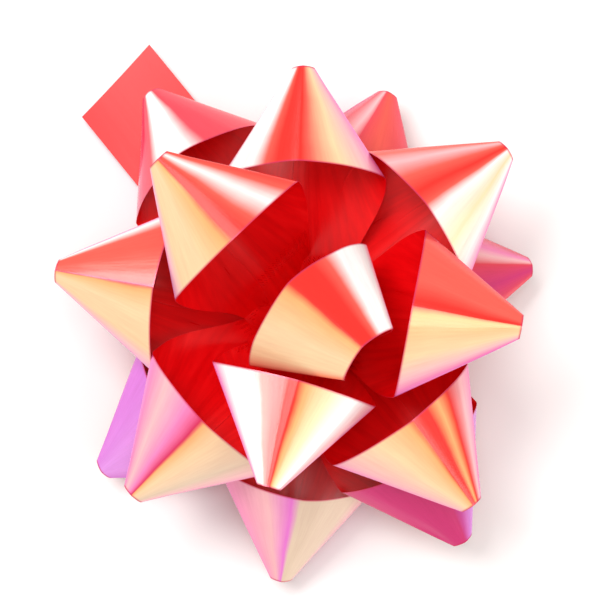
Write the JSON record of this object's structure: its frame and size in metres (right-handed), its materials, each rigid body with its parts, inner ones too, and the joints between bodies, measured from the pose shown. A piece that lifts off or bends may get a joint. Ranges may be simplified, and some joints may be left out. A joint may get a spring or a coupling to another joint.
{
  "type": "gift bow",
  "caption": "Pre-made star gift bow: pointed loops of iridescent red film ribbon stapled to a small card, with a peel-off adhesive pad below.",
  "frame": {"origin": "centre of the release liner's underside, below the middle of the adhesive pad, on the bow's axis", "axes": "+Z along the bow's axis, away from the parcel; +Y the bow's long way; +X the liner's finger tab"},
  "size_m": [0.0877, 0.1027, 0.0398],
  "materials": {
    "ribbon_film": "metallised film, pearl iridescent outside and glossy red inside",
    "staple_wire": "galvanised wire",
    "base_card": "uncoated greyboard",
    "foam_pad": "closed-cell foam with adhesive faces",
    "release_liner": "silicone-coated release paper"
  },
  "bodies": {
    "bow": {"lower_loop_1": "ribbon_film", "lower_loop_2": "ribbon_film", "lower_loop_3": "ribbon_film", "lower_loop_4": "ribbon_film", "lower_loop_5": "ribbon_film", "lower_loop_6": "ribbon_film", "lower_loop_7": "ribbon_film", "middle_loop_1": "ribbon_film", "middle_loop_2": "ribbon_film", "middle_loop_3": "ribbon_film", "middle_loop_4": "ribbon_film", "middle_loop_5": "ribbon_film", "upper_loop_1": "ribbon_film", "upper_loop_2": "ribbon_film", "upper_loop_3": "ribbon_film", "centre_loop": "ribbon_film", "ribbon_tail": "ribbon_film", "staple": "staple_wire", "base_card": "base_card", "foam_pad": "foam_pad"},
    "release_liner": {"release_liner": "release_liner"}
  },
  "joints": [
    {"name": "liner_peel", "type": "hinge", "parent": "bow", "child": "release_liner", "pos_m": [-0.011, 0, 0.0002], "axis": [0, 1, 0], "range_deg": [0, 180]}
  ]
}
